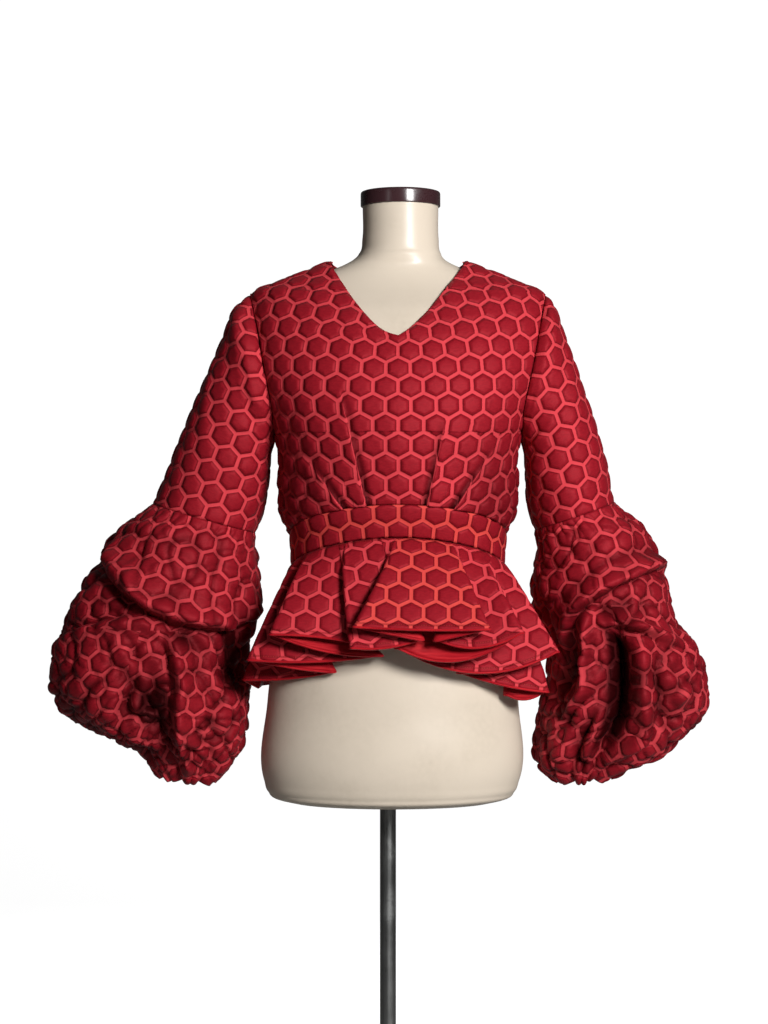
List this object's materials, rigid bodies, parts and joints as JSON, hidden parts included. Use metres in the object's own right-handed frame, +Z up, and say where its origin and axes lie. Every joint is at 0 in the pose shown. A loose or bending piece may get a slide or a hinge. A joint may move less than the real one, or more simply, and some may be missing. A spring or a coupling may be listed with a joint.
{
  "type": "peplum blouse on a dress form, ordered as a cocktail dress",
  "caption": "Red honeycomb-jacquard peplum blouse with V neck and full puffed lower sleeves, worn by a limbless dress form on a pole with a round base.",
  "frame": {"origin": "centre of the round base's underside", "axes": "+Z up along the pole; -Y towards the blouse's front, so +X is the wearer's left"},
  "size_m": [0.8996, 0.378, 1.5765],
  "materials": {
    "crimson_honeycomb": "puffed honeycomb jacquard in crimson, its lines coral",
    "red_satin": "smooth red satin",
    "ivory_shell": "glossy ivory",
    "maroon_cap": "dark maroon gloss",
    "brushed_pole": "brushed steel",
    "base_enamel": "black satin paint"
  },
  "bodies": {
    "root": {"base": "base_enamel", "bodice_back_left": "crimson_honeycomb", "bodice_back_right": "crimson_honeycomb", "bodice_front": "crimson_honeycomb", "form_torso": "ivory_shell", "neck_cap": "maroon_cap", "peplum": "crimson_honeycomb", "peplum_lining": "red_satin", "pole": "brushed_pole", "sleeve_left": "crimson_honeycomb", "sleeve_puff_left": "crimson_honeycomb", "sleeve_puff_right": "crimson_honeycomb", "sleeve_right": "crimson_honeycomb", "waistband_back_left": "crimson_honeycomb", "waistband_back_right": "crimson_honeycomb", "waistband_front": "crimson_honeycomb"}
  },
  "joints": []
}
